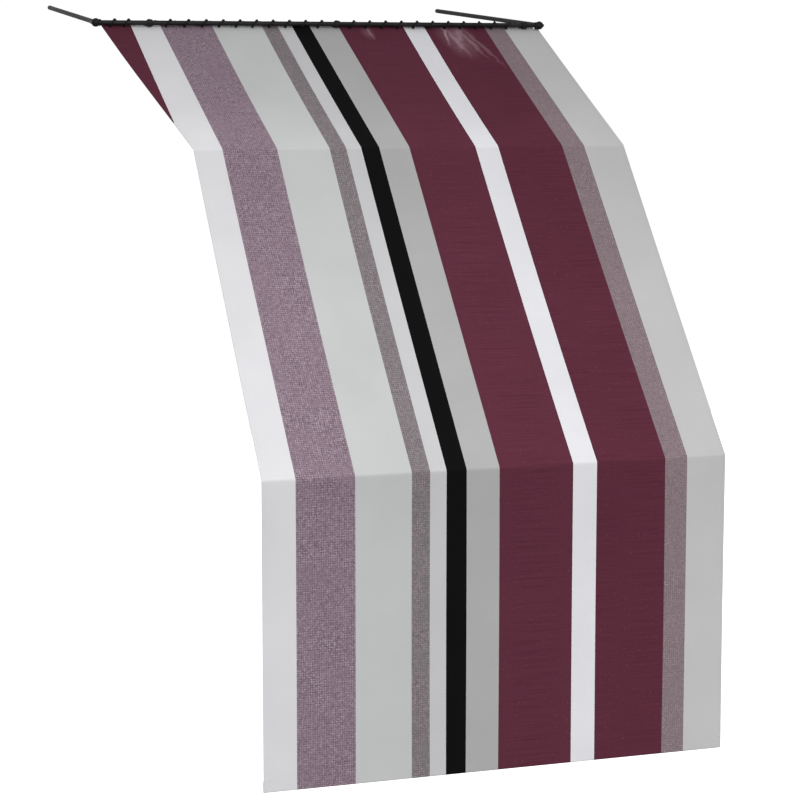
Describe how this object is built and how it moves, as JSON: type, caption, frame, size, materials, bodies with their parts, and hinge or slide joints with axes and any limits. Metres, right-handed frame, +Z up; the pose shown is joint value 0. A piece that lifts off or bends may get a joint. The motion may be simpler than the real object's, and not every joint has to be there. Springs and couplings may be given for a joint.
{
  "type": "fabric awning",
  "caption": "Striped cloth awning in two slopes and a straight drop, laced to a round head bar on two wall arms, over a rib frame with a weighted hem.",
  "frame": {"origin": "on the wall plane, midway between the wall ends of the two arms", "axes": "+Z up, +Y into the wall, +X to the right for a viewer facing the wall; the awning projects toward -Y"},
  "size_m": [1.24, 1.8303, 1.7612],
  "materials": {
    "black_paint": "satin black powder coat on round steel tube",
    "black_clamp": "satin black paint on cast fittings",
    "screw_steel": "blackened steel",
    "plug_plastic": "matt black",
    "striped_cloth": "woven acrylic awning cloth with vertical stripes in light grey, purple tweed, white, black and burgundy",
    "hem_band": "woven reinforcing band with set metal eyelets",
    "lace_cord": "braided black polyester cord",
    "zinc_bar": "zinc plated flat bar"
  },
  "bodies": {
    "root": {"arm_end_plug_left": "plug_plastic", "arm_end_plug_right": "plug_plastic", "clamp_screw_left": "screw_steel", "clamp_screw_middle": "screw_steel", "clamp_screw_right": "screw_steel", "cloth": "striped_cloth", "corner_elbow_left": "black_clamp", "corner_elbow_right": "black_clamp", "elbow_screw_left": "screw_steel", "elbow_screw_right": "screw_steel", "eyelet_band_left": "hem_band", "eyelet_band_middle": "hem_band", "eyelet_band_right": "hem_band", "first_fold_bar_left": "black_paint", "first_fold_bar_right": "black_paint", "first_fold_pocket_left": "striped_cloth", "first_fold_pocket_right": "striped_cloth", "first_knuckle_left": "black_clamp", "first_knuckle_middle": "black_clamp", "first_knuckle_right": "black_clamp", "head_bar": "black_paint", "head_clamp_left": "black_clamp", "head_clamp_middle": "black_clamp", "head_clamp_right": "black_clamp", "hem_weight_bar": "zinc_bar", "lacing_cord": "lace_cord", "lacing_knot_left": "lace_cord", "lacing_knot_right": "lace_cord", "lower_rib_left": "black_paint", "lower_rib_middle": "black_paint", "lower_rib_right": "black_paint", "second_fold_bar_left": "black_paint", "second_fold_bar_right": "black_paint", "second_fold_pocket_left": "striped_cloth", "second_fold_pocket_right": "striped_cloth", "second_knuckle_left": "black_clamp", "second_knuckle_middle": "black_clamp", "second_knuckle_right": "black_clamp", "upper_rib_left": "black_paint", "upper_rib_middle": "black_paint", "upper_rib_right": "black_paint", "wall_arm_left": "black_paint", "wall_arm_right": "black_paint"}
  },
  "joints": []
}
